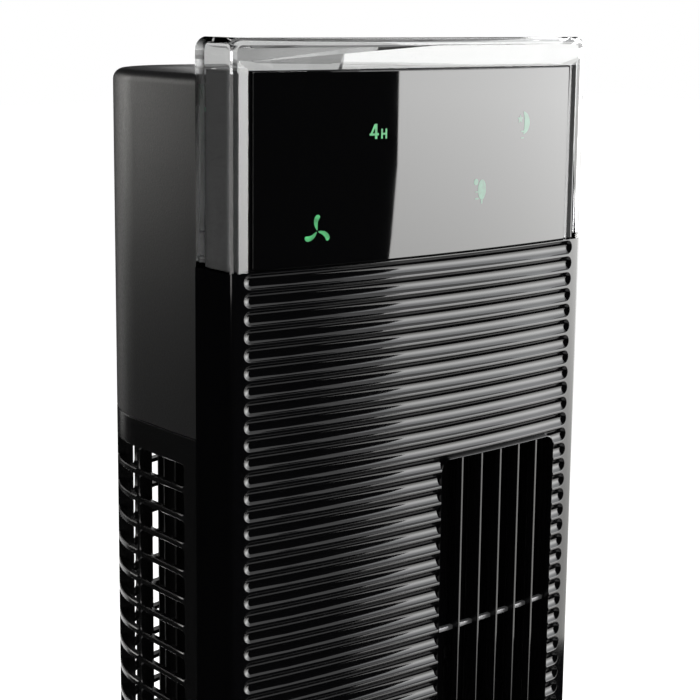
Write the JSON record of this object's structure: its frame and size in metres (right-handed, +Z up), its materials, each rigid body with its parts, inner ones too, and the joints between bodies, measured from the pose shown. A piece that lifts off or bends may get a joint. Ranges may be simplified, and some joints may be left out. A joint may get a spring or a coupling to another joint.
{
  "type": "tower fan",
  "caption": "Black tower fan on a round base: fluted glossy front, tall narrow outlet, clear-framed display with four symbols, slotted rear shell and a geared swing drive.",
  "frame": {"origin": "centre of the round base on the floor, which is also the axis that the column swings about", "axes": "+Z up along the column, -Y towards the fluted front with the display, +X towards the side that the air outlet is nearer to"},
  "size_m": [0.3, 0.3, 0.932],
  "materials": {
    "gloss_black": "polished",
    "matte_dark": "fine spark texture",
    "clear": "polished clear plastic",
    "display_black": "mirror gloss, smoked",
    "inner_black": "moulded",
    "rubber": "matt",
    "steel": "turned",
    "screw_steel": "zinc plated",
    "black_screw": "blackened",
    "bronze": "sintered",
    "copper": "enamelled copper wire",
    "motor_steel": "pressed sheet",
    "core_steel": "stacked sheets",
    "ballast_iron": "as cast",
    "nylon": "natural",
    "board": "solder resist",
    "component": "moulded",
    "white_case": "moulded",
    "key": "satin",
    "guide": "translucent"
  },
  "bodies": {
    "base": {"base_shell": "gloss_black", "base_plate": "inner_black", "ballast": "ballast_iron", "feet": "rubber", "base_screws": "screw_steel", "pivot_post": "steel", "pivot_screws": "screw_steel", "fixed_gear": "nylon", "thrust_washer": "nylon", "circlip": "steel"},
    "impeller": {"impeller": "inner_black", "impeller_set_screw": "screw_steel", "top_pin": "steel", "motor_shaft": "steel", "motor_rotor": "core_steel"},
    "pinion": {"swing_pinion": "nylon", "pinion_shaft": "steel"},
    "key_power": {"key_power": "key"},
    "key_speed": {"key_speed": "key"},
    "key_mode": {"key_mode": "key"},
    "key_timer": {"key_timer": "key"},
    "key_swing": {"key_swing": "key"},
    "tower": {"cord_inlet": "rubber", "retaining_washer": "steel", "neck": "gloss_black", "pivot_bush": "nylon", "neck_screws": "screw_steel", "bottom_cover": "inner_black", "swing_motor": "motor_steel", "swing_motor_screws": "screw_steel", "power_board": "board", "power_parts": "component", "capacitor": "white_case", "motor_plate": "inner_black", "motor_housing": "motor_steel", "motor_stator": "core_steel", "motor_windings": "copper", "motor_bushes": "bronze", "motor_dampers": "rubber", "motor_screws": "screw_steel", "top_plate": "inner_black", "top_bush": "bronze", "bush_mount": "rubber", "scroll_wall": "inner_black", "tongue": "inner_black", "front_panel": "gloss_black", "outlet_grille": "gloss_black", "rear_grille": "matte_dark", "rear_housing": "matte_dark", "housing_screws": "black_screw", "clear_cover": "clear", "display_carrier": "inner_black", "display_panel": "display_black", "icon_guides": "guide", "display_board": "board", "key_board": "board", "switches": "component", "harness": "rubber"}
  },
  "joints": [
    {"name": "tower_swing", "type": "hinge", "parent": "base", "child": "tower", "pos_m": [0, 0, 0.045], "axis": [0, 0, 1], "range_deg": [-35, 35]},
    {"name": "pinion_turn", "type": "hinge", "parent": "tower", "child": "pinion", "pos_m": [0.0375, 0, 0.04], "axis": [0, 0, 1], "range_deg": [-140, 140]},
    {"name": "impeller_spin", "type": "hinge", "parent": "tower", "child": "impeller", "pos_m": [-0.0235, 0.002, 0.2], "axis": [0, 0, 1], "continuous": true},
    {"name": "press_power", "type": "slide", "parent": "tower", "child": "key_power", "axis": [0, 0, -1], "range_m": [0, 0.0008], "stiffness_N_per_m": 400},
    {"name": "press_speed", "type": "slide", "parent": "tower", "child": "key_speed", "axis": [0, 0, -1], "range_m": [0, 0.0008], "stiffness_N_per_m": 400},
    {"name": "press_mode", "type": "slide", "parent": "tower", "child": "key_mode", "axis": [0, 0, -1], "range_m": [0, 0.0008], "stiffness_N_per_m": 400},
    {"name": "press_timer", "type": "slide", "parent": "tower", "child": "key_timer", "axis": [0, 0, -1], "range_m": [0, 0.0008], "stiffness_N_per_m": 400},
    {"name": "press_swing", "type": "slide", "parent": "tower", "child": "key_swing", "axis": [0, 0, -1], "range_m": [0, 0.0008], "stiffness_N_per_m": 400}
  ],
  "couplings": [
    {"joint": "pinion_turn", "follows": "tower_swing", "ratio": 4}
  ]
}
